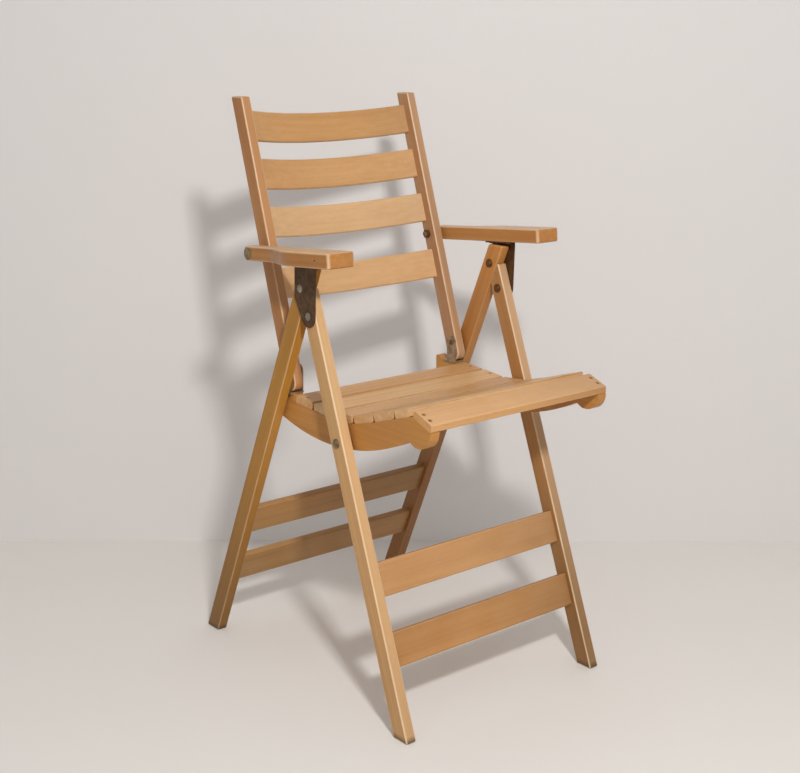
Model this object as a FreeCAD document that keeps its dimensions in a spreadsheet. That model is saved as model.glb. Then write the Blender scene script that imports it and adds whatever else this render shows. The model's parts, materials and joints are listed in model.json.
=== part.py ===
import FreeCAD, Part
import Sketcher
import math
import os
import re

# Folding wooden armchair, opened out. It faces -Y, +X is the sitter's left and the
# floor is Z 0. Each leg frame is two straight legs and two cross rails. The arms
# turn on the front legs, the rear legs turn on the arms' steel brackets, the seat
# turns on the front legs, and the back hangs between the arms and the seat, so
# that arm, back, seat and front leg make a parallelogram that folds flat.

DRIVING_SIZES = (
    # Leg frames
    ("outline_shift", 10.5, "middle of the chair's outline ahead of the middle of its feet"),
    ("leg_half_span", 203.5, "centre plane to the outer face of a leg"),
    ("leg_thickness", 18.5, "across the chair"),
    ("front_leg_width", 29.5, "seen from the side"),
    ("rear_leg_width", 31.0, "seen from the side"),
    ("front_leg_lean", 20.0, "degrees back from upright"),
    ("rear_leg_lean", 23.36, "degrees forward from upright"),
    ("rear_leg_end", 32.0, "level top of a rear leg above its pivot"),
    ("leg_top_gap", 0.3, "between the slanted top of a front leg and the rear leg"),
    ("leg_arris", 2.8, "radius worked on the edges of legs and back stiles"),
    # Pivots, measured along the middle line of a leg from the floor
    ("seat_pivot_up", 442.0, "seat pivot up the front leg"),
    ("arm_pivot_up", 636.0, "arm pivot up the front leg"),
    ("rear_pivot_run", 20.5, "rear leg's pivot behind the arm pivot"),
    ("rear_pivot_rise", 39.93, "rear leg's pivot above the arm pivot"),
    ("link_length", 172.6, "arm pivot to arm bolt, and seat pivot to back hinge"),
    ("link_rise", 26.7, "degrees that both links rise towards the back"),
    # Cross rails of the leg frames
    ("rail_height", 51.5, "along the leg"),
    ("rail_thickness", 12.0, "through the leg"),
    ("rail_arris", 2.0, "radius on the long edges"),
    ("front_upper_rail_up", 232.0, "up the front leg to the middle of the rail"),
    ("front_lower_rail_up", 128.0, "up the front leg to the middle of the rail"),
    ("rear_upper_rail_up", 241.0, "up the rear leg to the middle of the rail"),
    ("rear_lower_rail_up", 136.5, "up the rear leg to the middle of the rail"),
    ("rear_rail_forward", 2.0, "rear rails in front of the legs' middle line"),
    ("tenon_length", 11.0, "into the leg"),
    ("tenon_thickness", 8.0, "of a cross rail's tenon"),
    ("tenon_shoulder", 6.0, "cut from each edge of a rail or slat at its tenon"),
    ("mortise_play", 0.1, "all round a tenon"),
    # Arms
    ("arm_tilt", 4.5, "degrees that an arm falls towards the back"),
    ("arm_thickness", 23.0, "of the wood"),
    ("arm_inset", 17.5, "straight inner edge inside the outer faces of the legs"),
    ("arm_front_width", 49.0, "at the hand"),
    ("arm_rear_width", 24.0, "at the back"),
    ("arm_front_reach", 245.8, "arm bolt to the front end"),
    ("arm_rear_reach", 10.5, "arm bolt to the rear end"),
    ("arm_curve_start", 69.0, "arm bolt to where the narrow part ends"),
    ("arm_curve_end", 127.0, "arm bolt to where the full width starts"),
    ("arm_curve_radius", 120.0, "of both bends of the outer edge"),
    ("arm_front_corner", 5.5, "plan radius at the front"),
    ("arm_rear_corner", 4.5, "plan radius at the rear"),
    ("arm_arris", 3.2, "radius on the long edges"),
    ("arm_hole_reach", 212.0, "arm bolt to the small peg hole in the outer edge"),
    ("arm_hole_radius", 2.0, "of the peg hole"),
    ("arm_hole_depth", 6.0, "of the peg hole"),
    # Arm brackets, bent from sheet
    ("sheet_thickness", 2.0, "of the bracket"),
    ("leg_side_gap", 0.3, "between the bracket and the outer faces of the legs"),
    ("bracket_front", 25.2, "front edge at the arm, ahead of the arm pivot"),
    ("bracket_rear", 28.1, "rear edge at the arm, behind the arm pivot"),
    ("bracket_shoulder_reach", 32.1, "rear shoulder behind the arm pivot"),
    ("bracket_shoulder_rise", 28.0, "rear shoulder above the arm pivot"),
    ("bracket_neck", 6.0, "straight sides below the arm"),
    ("bracket_tip", 17.0, "radius of the lower end, round the arm pivot"),
    ("bend_radius", 1.0, "inside the bend"),
    ("flange_inset", 2.0, "flange's free edge inside the arm's inner edge"),
    ("front_hole_reach", 19.0, "front hole of the flange ahead of the arm pivot"),
    ("rear_hole_reach", 22.5, "rear hole of the flange behind the arm pivot"),
    ("flange_hole_inset", 8.0, "holes inside the outer faces of the legs"),
    # Rivets, bolts and screws
    ("rivet_radius", 3.0, "shank"),
    ("rivet_head_radius", 6.4, "domed head"),
    ("rivet_head_height", 2.6, "domed head"),
    ("rivet_end_radius", 4.6, "end hammered over"),
    ("rivet_end_height", 2.4, "end hammered over"),
    ("rivet_washer_radius", 7.5, "under the hammered end"),
    ("rivet_washer_thickness", 1.0, "under the hammered end"),
    ("bolt_radius", 4.0, "seat and arm bolts"),
    ("bolt_head_radius", 7.2, "low domed head"),
    ("bolt_head_height", 3.2, "low domed head"),
    ("bolt_end", 1.5, "thread past the nut"),
    ("nut_width", 13.0, "across the flats"),
    ("nut_height", 5.0, "along the bolt"),
    ("spacer_radius", 9.0, "washers that keep the moving frames apart"),
    ("running_gap", 0.05, "round a shank in its hole"),
    ("side_gap", 0.2, "beside a piece that turns"),
    ("screw_radius", 1.7, "shank of a wood screw"),
    ("screw_head_radius", 3.2, "wood screw"),
    ("screw_sink", 0.8, "head below the wood"),
    ("screw_length", 24.0, "slat and board screws, under the head's top"),
    ("short_screw_length", 11.0, "bracket and hinge screws, under the sheet's face"),
    ("pan_head_height", 1.9, "bracket screws"),
    ("flush_sink", 0.1, "hinge screws below the plate"),
    # Seat
    ("frame_gap", 5.0, "between the legs and the outer faces of seat rails and stiles"),
    ("seat_rail_thickness", 17.0, "across the chair"),
    ("dish_reach", 141.0, "rear edge of the first slat behind the seat pivot"),
    ("dish_rise", 42.8, "rear edge of the first slat above the seat pivot"),
    ("hinge_seat_length", 33.0, "level stretch behind the first slat, under the back hinge"),
    ("heel_length", 54.5, "rear end of the rail behind the first slat"),
    ("heel_step", 7.9, "rear top corner above the level stretch"),
    ("heel_depth", 33.1, "rear lower corner below the level stretch"),
    ("belly_radius", 409.0, "long curve under the rail"),
    ("throat_inset", 46.0, "notch under the front, behind the front of the rail"),
    ("throat_drop", 47.0, "notch below the front board's rear edge"),
    ("nose_inset", 0.5, "front of the rail behind the front of the board"),
    ("nose_drop", 53.2, "lowest point of the nose below the front board's rear edge"),
    ("nose_radius", 26.5, "round front of the rail"),
    ("nose_flat", 33.0, "front of the rail to the foot of the notch"),
    ("nose_foot_radius", 6.0, "between the round front and the notch, and in the notch"),
    ("heel_radius", 4.0, "corners of the rear end"),
    ("slat_inset", 1.0, "ends of seat slats inside the outer faces of the rails"),
    ("slat_pitch", 49.6, "one slat and one gap"),
    ("slat_width", 44.8, "the five wide slats"),
    ("slat_thickness", 12.0, "seat slats"),
    ("slat_arris", 2.6, "radius on the long edges"),
    ("strip_pitch", 38.1, "the narrow front slat and its gap"),
    ("strip_width", 33.5, "the narrow front slat"),
    ("slat_1_rise", -3.6, "degrees that the rear slat rises towards the front"),
    ("slat_2_rise", -4.8, "degrees"),
    ("slat_3_rise", 4.7, "degrees"),
    ("slat_4_rise", 15.0, "degrees"),
    ("slat_5_rise", 18.1, "degrees"),
    ("slat_6_rise", 16.8, "degrees, the narrow front slat"),
    ("board_gap", 11.5, "front board ahead of the narrow slat's pitch"),
    ("board_drop", 1.0, "front board's rear edge below the narrow slat"),
    ("board_depth", 36.0, "front board from back to front"),
    ("board_fall", 21.25, "degrees that the front board falls towards the front"),
    ("board_thickness", 11.0, "front board"),
    ("board_arris", 2.2, "radius on the long edges"),
    ("board_hole_inset", 11.0, "screw holes from the edges of the front board"),
    # Back
    ("stile_lean", 17.7, "degrees back from upright"),
    ("stile_width", 29.0, "seen from the side"),
    ("stile_thickness", 17.0, "across the chair"),
    ("stile_foot_gap", 0.75, "between the stile's swinging foot and the hinge plate"),
    ("back_height", 917.0, "overall height of the chair"),
    ("back_slat_share", 0.6226, "height of a back slat, of the upper slats' spacing"),
    ("back_slat_thickness", 9.5, "bowed board"),
    ("back_slat_bow", 36.0, "middle of a slat behind its ends"),
    ("back_slat_set", 1.0, "slat's front face behind the stile's middle line"),
    ("back_slat_arris", 1.5, "bevel on the long edges"),
    ("top_slat_drop", 46.3, "stile's top to the middle of the first slat"),
    ("slat_above_bolt", 47.3, "arm bolt to the middle of the next slat up"),
    ("slat_below_bolt", 52.4, "arm bolt to the middle of the lowest slat"),
    ("back_tenon_length", 7.0, "into the stile"),
    ("back_tenon_thickness", 6.0, "of a back slat's tenon"),
    # Back hinges and stop pins
    ("leaf_thickness", 2.5, "hinge plate"),
    ("leaf_tip", 10.5, "radius of the hinge plate round its rivet"),
    ("leaf_gap", 2.0, "foot of the hinge behind the first slat's knee"),
    ("leaf_length", 30.0, "foot of the hinge along the seat rail"),
    ("leaf_side_gap", 0.6, "foot of the hinge beside the legs"),
    ("leaf_screw_inset", 6.0, "hinge screws from the ends of the foot"),
    ("stop_radius", 4.5, "barrel that stops the seat"),
    ("stop_length", 3.6, "barrel"),
    ("stop_shank_radius", 2.5, "in the rear leg"),
    ("stop_shank_length", 12.0, "in the rear leg"),
    ("stop_ahead", 4.0, "stop pin ahead of the rear leg's middle line"),
    ("stop_gap", 0.3, "between the barrel and the hinge's foot"),
)

# What follows from the driving sizes: pivots, planes and corners that several pieces
# share. Y and Z are in the chair's frame, run and rise are from the seat pivot.
SHARED_PLACES = (
    ("leg_inner", "leg_half_span - leg_thickness"),
    ("leg_spread", "front_leg_lean + rear_leg_lean"),
    ("rear_pivot_z", "arm_pivot_up * cos(front_leg_lean) + rear_pivot_rise"),
    ("rear_pivot_up", "rear_pivot_z / cos(rear_leg_lean)"),
    ("feet_spread", "arm_pivot_up * sin(front_leg_lean) + rear_pivot_run"
                    " + rear_pivot_z * tan(rear_leg_lean)"),
    ("front_foot_reach", "feet_spread / 2 - outline_shift"),
    ("rear_foot_reach", "feet_spread / 2 + outline_shift"),
    ("seat_pivot_y", "seat_pivot_up * sin(front_leg_lean) - front_foot_reach"),
    ("seat_pivot_z", "seat_pivot_up * cos(front_leg_lean)"),
    ("arm_pivot_y", "arm_pivot_up * sin(front_leg_lean) - front_foot_reach"),
    ("arm_pivot_z", "arm_pivot_up * cos(front_leg_lean)"),
    ("rear_pivot_y", "arm_pivot_y + rear_pivot_run"),
    ("link_y", "link_length * cos(link_rise)"),
    ("link_z", "link_length * sin(link_rise)"),
    ("arm_bolt_y", "arm_pivot_y + link_y"),
    ("arm_bolt_z", "arm_pivot_z + link_z"),
    ("back_hinge_y", "seat_pivot_y + link_y"),
    ("back_hinge_z", "seat_pivot_z + link_z"),
    ("side_plane", "leg_inner - frame_gap"),
    ("stile_inner", "side_plane - stile_thickness"),
    ("rail_inner", "side_plane - seat_rail_thickness"),
    ("slat_half_length", "side_plane - slat_inset"),
    ("arm_inner", "leg_half_span - arm_inset"),
    ("arm_front_edge", "arm_inner + arm_front_width"),
    ("arm_rear_edge", "arm_inner + arm_rear_width"),
    ("flange_inner", "arm_inner + flange_inset"),
    ("stile_mid_y", "(arm_bolt_y + back_hinge_y) / 2"),
    ("stile_mid_z", "(arm_bolt_z + back_hinge_z) / 2"),
    ("stile_half", "(arm_pivot_up - seat_pivot_up) / 2"),
    ("stile_skew", "front_leg_lean - stile_lean"),
    ("stile_top", "(back_height - stile_mid_z) / cos(stile_lean)"),
    ("stile_bolt_up", "stile_half * cos(stile_skew)"),
    ("stile_foot", "link_z - dish_rise - leaf_thickness - stile_foot_gap"),
    ("upper_slat_pitch", "(stile_top - top_slat_drop - slat_above_bolt - stile_bolt_up) / 2"),
    ("back_slat_height", "back_slat_share * upper_slat_pitch"),
    ("arm_bolt_run", "link_y * cos(arm_tilt) - link_z * sin(arm_tilt)"),
    ("arm_bolt_rise", "link_y * sin(arm_tilt) + link_z * cos(arm_tilt)"),
    ("arm_underside", "arm_bolt_rise - arm_thickness / 2"),
    ("sheet_inner", "leg_half_span + leg_side_gap"),
    ("sheet_outer", "sheet_inner + sheet_thickness"),
    ("shoulder_reach", "sqrt(bracket_shoulder_reach^2 + bracket_shoulder_rise^2)"),
    ("tip_turn", "atan2(bracket_shoulder_rise; bracket_shoulder_reach)"
                 " - acos(bracket_tip / shoulder_reach)"),
    ("neck_rise", "arm_underside - bracket_neck"),
    ("neck_reach", "sqrt(bracket_front^2 + neck_rise^2)"),
    ("neck_turn", "atan2(neck_rise; -bracket_front) + acos(bracket_tip / neck_reach)"),
    ("knee_0_run", "dish_reach"),
    ("knee_0_rise", "dish_rise"),
    ("knee_1_run", "knee_0_run - slat_pitch * cos(slat_1_rise)"),
    ("knee_1_rise", "knee_0_rise + slat_pitch * sin(slat_1_rise)"),
    ("knee_2_run", "knee_1_run - slat_pitch * cos(slat_2_rise)"),
    ("knee_2_rise", "knee_1_rise + slat_pitch * sin(slat_2_rise)"),
    ("knee_3_run", "knee_2_run - slat_pitch * cos(slat_3_rise)"),
    ("knee_3_rise", "knee_2_rise + slat_pitch * sin(slat_3_rise)"),
    ("knee_4_run", "knee_3_run - slat_pitch * cos(slat_4_rise)"),
    ("knee_4_rise", "knee_3_rise + slat_pitch * sin(slat_4_rise)"),
    ("knee_5_run", "knee_4_run - slat_pitch * cos(slat_5_rise)"),
    ("knee_5_rise", "knee_4_rise + slat_pitch * sin(slat_5_rise)"),
    ("knee_6_run", "knee_5_run - strip_pitch * cos(slat_6_rise)"),
    ("knee_6_rise", "knee_5_rise + strip_pitch * sin(slat_6_rise)"),
    ("board_run", "knee_6_run - board_gap"),
    ("board_rise", "knee_6_rise - board_drop"),
    ("board_front_run", "board_run - board_depth"),
    ("board_front_rise", "board_rise - board_depth * tan(board_fall)"),
    ("board_under", "board_thickness / cos(board_fall)"),
    ("nose_run", "board_front_run + nose_inset"),
    ("nose_rise", "board_rise - nose_drop"),
    ("throat_run", "nose_run + throat_inset"),
    ("throat_rise", "board_rise - throat_drop"),
    ("leaf_run", "dish_reach + leaf_gap + leaf_length / 2"),
    ("screw_line", "(side_plane + rail_inner) / 2"),
    ("ear_outer", "stile_inner - side_gap"),
    ("ear_inner", "ear_outer - leaf_thickness"),
    ("foot_outer", "leg_inner - leaf_side_gap"),
    ("stop_z", "seat_pivot_z + dish_rise + leaf_thickness + stop_gap + stop_radius"),
    ("stop_y", "rear_foot_reach - stop_z * tan(rear_leg_lean) - stop_ahead"),
    ("bow_radius", "(stile_inner^2 + back_slat_bow^2) / (2 * back_slat_bow)"),
    ("bow_outer_radius", "bow_radius + back_slat_thickness"),
    ("bow_centre", "bow_radius - back_slat_bow"),
    ("slat_end_depth", "sqrt(bow_outer_radius^2 - stile_inner^2) - bow_centre"),
)

doc = FreeCAD.newDocument("FoldingArmchair")
sheet_of = {}


def bound(formula):
    """Put the name of its sheet before each alias of a formula."""
    def named(match):
        word = match.group()
        return f"{sheet_of[word]}.{word}" if word in sheet_of else word
    return re.sub(r"[a-z][a-z_0-9]*", named, str(formula))


def make_sheets():
    """Write the driving sizes as plain numbers, and what follows as formulas."""
    sizes = doc.addObject("Spreadsheet::Sheet", "Sizes")
    for row, (alias, number, note) in enumerate(DRIVING_SIZES, start=1):
        sizes.set(f"A{row}", alias)
        sizes.set(f"B{row}", str(number))
        sizes.set(f"C{row}", note)
        sizes.setAlias(f"B{row}", alias)
        sheet_of[alias] = "Sizes"
    doc.recompute()
    places = doc.addObject("Spreadsheet::Sheet", "Places")
    for row, (alias, formula) in enumerate(SHARED_PLACES, start=1):
        places.set(f"A{row}", alias)
        places.set(f"B{row}", "=" + bound(formula).replace("Places.", ""))
        places.setAlias(f"B{row}", alias)
        sheet_of[alias] = "Places"
    doc.recompute()
    return sizes


sizes_sheet = make_sheets()


def value(formula):
    """Work out a formula as a number."""
    return float(sizes_sheet.evalExpression(bound(formula)))


def own_plane(body, role):
    """Find one of the three planes of a body's own origin."""
    return next(plane for plane in body.Origin.OriginFeatures if plane.Role == role)


def new_sketch(body, plane, lift):
    """Start a sketch on a plane of the body, or lifted off it along its normal."""
    sketch = body.newObject("Sketcher::SketchObject", body.Name + "_sketch")
    sketch.AttachmentSupport = (own_plane(body, plane), "")
    sketch.MapMode = "FlatFace"
    if lift != "0":
        sketch.setExpression("AttachmentOffset.Base.z", bound(lift))
    return sketch


def dimension(sketch, kind, *where, formula):
    """Add one dimension and bind it to a formula."""
    index = sketch.addConstraint(Sketcher.Constraint(kind, *where, value(formula)))
    sketch.setExpression(f"Constraints[{index}]", bound(formula))


def arc_between(start, end, radius, side):
    """Short arc from start to end, its centre on the left (1) or the right (-1)."""
    chord = end - start
    across = FreeCAD.Vector(-chord.y, chord.x, 0).normalize() * side
    rise = math.sqrt(max(radius ** 2 - (chord.Length / 2) ** 2, 0))
    centre = start + chord / 2 + across * rise
    first, last = (start, end) if side > 0 else (end, start)
    angles = [math.atan2(point.y - centre.y, point.x - centre.x) for point in (first, last)]
    circle = Part.Circle(centre, FreeCAD.Vector(0, 0, 1), radius)
    return Part.ArcOfCircle(circle, *angles)


def outline(body, plane, corners, lift="0"):
    """Sketch a closed outline whose corners are pairs of formulas.

    A corner with two more entries starts an arc to the next corner: the formula of
    its radius, and 1 or -1 for a centre on its left or right.
    """
    sketch = new_sketch(body, plane, lift)
    points = [FreeCAD.Vector(value(corner[0]), value(corner[1]), 0) for corner in corners]
    starts = []
    ends = []
    for index, corner in enumerate(corners):
        start = points[index]
        end = points[(index + 1) % len(points)]
        if len(corner) == 4:
            sketch.addGeometry(arc_between(start, end, value(corner[2]), corner[3]), False)
            starts.append(1 if corner[3] > 0 else 2)
            ends.append(2 if corner[3] > 0 else 1)
        else:
            sketch.addGeometry(Part.LineSegment(start, end), False)
            starts.append(1)
            ends.append(2)
    for index in range(len(corners)):
        after = (index + 1) % len(corners)
        joint = Sketcher.Constraint("Coincident", index, ends[index], after, starts[after])
        sketch.addConstraint(joint)
    for index, corner in enumerate(corners):
        dimension(sketch, "DistanceX", -1, 1, index, starts[index], formula=corner[0])
        dimension(sketch, "DistanceY", -1, 1, index, starts[index], formula=corner[1])
        if len(corner) == 4:
            dimension(sketch, "Radius", index, formula=corner[2])
    return sketch


def circle(body, plane, across, along, radius, lift="0"):
    """Sketch one circle."""
    sketch = new_sketch(body, plane, lift)
    sketch.addGeometry(Part.Circle(FreeCAD.Vector(value(across), value(along), 0),
                                   FreeCAD.Vector(0, 0, 1), value(radius)), False)
    dimension(sketch, "DistanceX", -1, 1, 0, 3, formula=across)
    dimension(sketch, "DistanceY", -1, 1, 0, 3, formula=along)
    dimension(sketch, "Radius", 0, formula=radius)
    return sketch


def rectangle(across, along, width, height):
    """Corners of a rectangle round a middle point."""
    left, right = f"{across} - ({width}) / 2", f"{across} + ({width}) / 2"
    low, high = f"{along} - ({height}) / 2", f"{along} + ({height}) / 2"
    return [(left, low), (right, low), (right, high), (left, high)]


def new_body(label):
    body = doc.addObject("PartDesign::Body", label)
    body.Label = label
    return body


def pad(body, sketch, length, both_ways=False, reverse=False):
    """Raise a sketch by a length, to one side or half to each side."""
    feature = body.newObject("PartDesign::Pad", body.Name + "_pad")
    feature.Profile = sketch
    feature.setExpression("Length", bound(length))
    feature.Midplane = both_ways
    feature.Reversed = reverse
    doc.recompute()
    return feature


def pocket(body, sketch, depth=None, reverse=False):
    """Cut a sketch to a depth, or right through both ways, and see that it cuts."""
    before = body.Tip.Shape.Volume
    feature = body.newObject("PartDesign::Pocket", body.Name + "_pocket")
    feature.Profile = sketch
    if depth is None:
        feature.Type = "ThroughAll"
        feature.Midplane = True
    else:
        feature.setExpression("Length", bound(depth))
        feature.Reversed = reverse
    doc.recompute()
    if body.Tip.Shape.Volume >= before:
        raise RuntimeError(f"{body.Label}: a pocket cuts nothing")
    return feature


def turn(body, sketch, axis):
    """Turn a half section about one axis of its sketch."""
    feature = body.newObject("PartDesign::Revolution", body.Name + "_turned")
    feature.Profile = sketch
    feature.ReferenceAxis = (sketch, [axis])
    feature.Angle = 360
    doc.recompute()
    return feature


def ease_edges(body, size, wanted, feature="Fillet", sized="Radius"):
    """Round, or with the Chamfer feature bevel, the edges that the test picks."""
    solid = body.Tip
    edges = [f"Edge{number}" for number, edge in enumerate(solid.Shape.Edges, start=1)
             if wanted(edge)]
    eased = body.newObject("PartDesign::" + feature, body.Name + "_eased")
    eased.Base = (solid, edges)
    eased.setExpression(sized, bound(size))
    doc.recompute()
    if not body.Tip.Shape.isValid():
        raise RuntimeError(f"{body.Label}: an edge can't be eased")
    return eased


def middle(edge):
    """Point half way along an edge."""
    return edge.valueAt((edge.FirstParameter + edge.LastParameter) / 2)


def runs_along(edge, axis):
    """Whether an edge is straight and parallel to an axis."""
    if edge.Curve.TypeId != "Part::GeomLine":
        return False
    return abs(edge.Curve.Direction.dot(axis)) > 0.9999


def near(point, x=None, y=None, z=None):
    """Whether a point has the coordinates that are given."""
    wanted = zip((x, y, z), point)
    return all(formula is None or abs(value(formula) - real) < 0.01 for formula, real in wanted)


SIDEWAYS = FreeCAD.Vector(1, 0, 0)
UPWARDS = FreeCAD.Vector(0, 0, 1)


def place(piece, x="0", y="0", z="0", tilt="0"):
    """Bind a piece's place, with a tilt in degrees about the X axis."""
    spin = f"create(<<rotation>>; create(<<vector>>; 1; 0; 0); {tilt})"
    spot = f"create(<<vector>>; {x}; {y}; {z})"
    piece.setExpression("Placement", bound(f"create(<<placement>>; {spot}; {spin})"))
    doc.recompute()
    return piece


def mirrored(piece, label):
    """The same piece on the other side of the chair."""
    other = doc.addObject("Part::Mirroring", label)
    other.Label = label
    other.Source = piece
    other.Normal = SIDEWAYS
    return other


def group(label, pieces):
    """Several equal fasteners under one name."""
    together = doc.addObject("Part::Compound", label)
    together.Label = label
    together.Links = pieces
    return together


def both_sides(label, pieces):
    """A group of fasteners and their mirror images."""
    return group(label, pieces + [mirrored(piece, piece.Name + "_other") for piece in pieces])


def drilled(label, piece, drills):
    """A piece with the holes of its screws."""
    cut = doc.addObject("Part::Cut", label)
    cut.Base = piece
    cut.Tool = group(label + "_drills", drills)
    piece.Label = label + "_blank"
    cut.Label = label
    return cut


def dome(radius, height):
    """Formula of the ball radius of a low dome."""
    return f"(({radius})^2 + ({height})^2) / (2 * ({height}))"


def rivet(name, grip):
    """Rivet across the chair: its head rests on X 0 and its end is hammered at -grip."""
    body = new_body(name)
    far = f"-({grip})"
    ball = dome("rivet_head_radius", "rivet_head_height")
    end_ball = dome("rivet_end_radius", "rivet_end_height")
    section = [
        ("0", "rivet_head_radius", ball, -1),
        ("rivet_head_height", "0"),
        (f"{far} - rivet_end_height", "0", end_ball, -1),
        (far, "rivet_end_radius"),
        (far, "rivet_radius"),
        ("0", "rivet_radius"),
    ]
    turn(body, outline(body, "XY_Plane", section), "H_Axis")
    return body


def ring(name, inner, outer, length):
    """Washer or spacer across the chair, from X 0 to -length."""
    body = new_body(name)
    section = [(f"-({length})", inner), ("0", inner), ("0", outer), (f"-({length})", outer)]
    turn(body, outline(body, "XY_Plane", section), "H_Axis")
    return body


def bolt(name, length):
    """Bolt across the chair: its low domed head rests on X 0."""
    body = new_body(name)
    rim = "bolt_head_height * 0.4"
    crown = dome("bolt_head_radius", "bolt_head_height - bolt_head_height * 0.4")
    section = [
        ("0", "bolt_head_radius"),
        (rim, "bolt_head_radius", crown, -1),
        ("bolt_head_height", "0"),
        (f"-({length})", "0"),
        (f"-({length})", "bolt_radius"),
        ("0", "bolt_radius"),
    ]
    turn(body, outline(body, "XY_Plane", section), "H_Axis")
    return body


def nut(name):
    """Hexagon nut across the chair, from X 0 to -nut_height."""
    body = new_body(name)
    reach = "nut_width / 2 / cos(30)"
    corners = [(f"{reach} * cos({turn_to})", f"{reach} * sin({turn_to})")
               for turn_to in range(0, 360, 60)]
    pad(body, outline(body, "YZ_Plane", corners), "nut_height", reverse=True)
    pocket(body, circle(body, "YZ_Plane", "0", "0", "bolt_radius + running_gap"))
    return body


def sunk_screw(name, length="screw_length", sink="screw_sink", play="0", above="0"):
    """Countersunk wood screw that points down from Z 0, or the drill for its hole."""
    body = new_body(name)
    head = f"screw_head_radius + {play}"
    shank = f"screw_radius + {play}"
    section = [
        ("0", f"{above} - {sink}"),
        ("0", f"-({length} + {play})"),
        (shank, f"-({length} + {play})"),
        (shank, f"-({sink} + screw_head_radius - screw_radius)"),
        (head, f"-{sink}"),
    ]
    if above != "0":
        section.append((head, f"{above} - {sink}"))
    turn(body, outline(body, "YZ_Plane", section), "V_Axis")
    return body


def sunk_drill(name, length="screw_length", sink="screw_sink"):
    """Drill for a countersunk screw, open above its head."""
    return sunk_screw(name, length, sink, "running_gap", "slat_thickness")


def pan_screw(name):
    """Round-headed wood screw that points down from Z 0."""
    body = new_body(name)
    crown = dome("screw_head_radius", "pan_head_height")
    section = [
        ("0", "-short_screw_length"),
        ("screw_radius", "-short_screw_length"),
        ("screw_radius", "0"),
        ("screw_head_radius", "0", crown, 1),
        ("0", "pan_head_height"),
    ]
    turn(body, outline(body, "YZ_Plane", section), "V_Axis")
    return body


def pan_drill(name):
    """Drill for the shank of a round-headed screw, from Z 0 down."""
    body = new_body(name)
    shaft = circle(body, "XY_Plane", "0", "0", "screw_radius + running_gap")
    pad(body, shaft, "short_screw_length + running_gap", reverse=True)
    return body


def rear_leg_spot(y, z):
    """Formulas of a point of the chair's side view in the rear leg's own frame."""
    across = f"(({y}) - rear_foot_reach) * cos(rear_leg_lean) + ({z}) * sin(rear_leg_lean)"
    along = f"({z}) * cos(rear_leg_lean) - (({y}) - rear_foot_reach) * sin(rear_leg_lean)"
    return across, along


def mortise(body, across, along):
    """Blind slot in the inner face for a cross rail's tenon."""
    width = "tenon_thickness + 2 * mortise_play"
    height = "rail_height - 2 * tenon_shoulder + 2 * mortise_play"
    slot = outline(body, "YZ_Plane", rectangle(across, along, width, height))
    pocket(body, slot, "tenon_length + mortise_play", reverse=True)


def front_leg():
    """Straight leg with its top cut to lie along the rear leg."""
    body = new_body("front_leg_left")
    half = "front_leg_width / 2"

    def meeting(across):
        away = f"({across} - feet_spread * cos(front_leg_lean)) * cos(leg_spread)"
        reach = f"(rear_leg_width / 2 + leg_top_gap + {away}) / sin(leg_spread)"
        return f"feet_spread * sin(front_leg_lean) - {reach}"

    side = [
        (f"-{half}", f"-{half} * tan(front_leg_lean)"),
        (half, f"{half} * tan(front_leg_lean)"),
        (half, meeting(half)),
        (f"-{half}", meeting(f"-{half}")),
    ]
    pad(body, outline(body, "YZ_Plane", side), "leg_thickness")
    ease_edges(body, "leg_arris", lambda edge: True)
    mortise(body, "0", "front_upper_rail_up")
    mortise(body, "0", "front_lower_rail_up")
    pocket(body, circle(body, "YZ_Plane", "0", "seat_pivot_up", "bolt_radius + running_gap"))
    pocket(body, circle(body, "YZ_Plane", "0", "arm_pivot_up", "rivet_radius + running_gap"))
    return place(body, "leg_inner", "-front_foot_reach", "0", "-front_leg_lean")


def rear_leg():
    """Straight leg with a level top, and the hole of the stop pin."""
    body = new_body("rear_leg_left")
    half = "rear_leg_width / 2"
    top = "(rear_pivot_z + rear_leg_end) / cos(rear_leg_lean)"
    side = [
        (f"-{half}", f"{half} * tan(rear_leg_lean)"),
        (half, f"-{half} * tan(rear_leg_lean)"),
        (half, f"{top} - {half} * tan(rear_leg_lean)"),
        (f"-{half}", f"{top} + {half} * tan(rear_leg_lean)"),
    ]
    pad(body, outline(body, "YZ_Plane", side), "leg_thickness")
    ease_edges(body, "leg_arris", lambda edge: True)
    mortise(body, "-rear_rail_forward", "rear_upper_rail_up")
    mortise(body, "-rear_rail_forward", "rear_lower_rail_up")
    pocket(body, circle(body, "YZ_Plane", "0", "rear_pivot_up", "rivet_radius + running_gap"))
    across, along = rear_leg_spot("stop_y", "stop_z")
    pin_hole = circle(body, "YZ_Plane", across, along, "stop_shank_radius + running_gap")
    pocket(body, pin_hole, "stop_shank_length + running_gap", reverse=True)
    return place(body, "leg_inner", "rear_foot_reach", "0", "rear_leg_lean")


def cross_rail(label, across, along, foot_y, tilt):
    """Flat rail between two legs, with a tenon at each end."""
    body = new_body(label)
    board = rectangle(across, along, "rail_thickness", "rail_height")
    pad(body, outline(body, "YZ_Plane", board), "2 * leg_inner", both_ways=True)
    ease_edges(body, "rail_arris", lambda edge: runs_along(edge, SIDEWAYS))
    tenon = rectangle(across, along, "tenon_thickness", "rail_height - 2 * tenon_shoulder")
    pad(body, outline(body, "YZ_Plane", tenon), "2 * (leg_inner + tenon_length)", both_ways=True)
    return place(body, "0", foot_y, "0", tilt)


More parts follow.
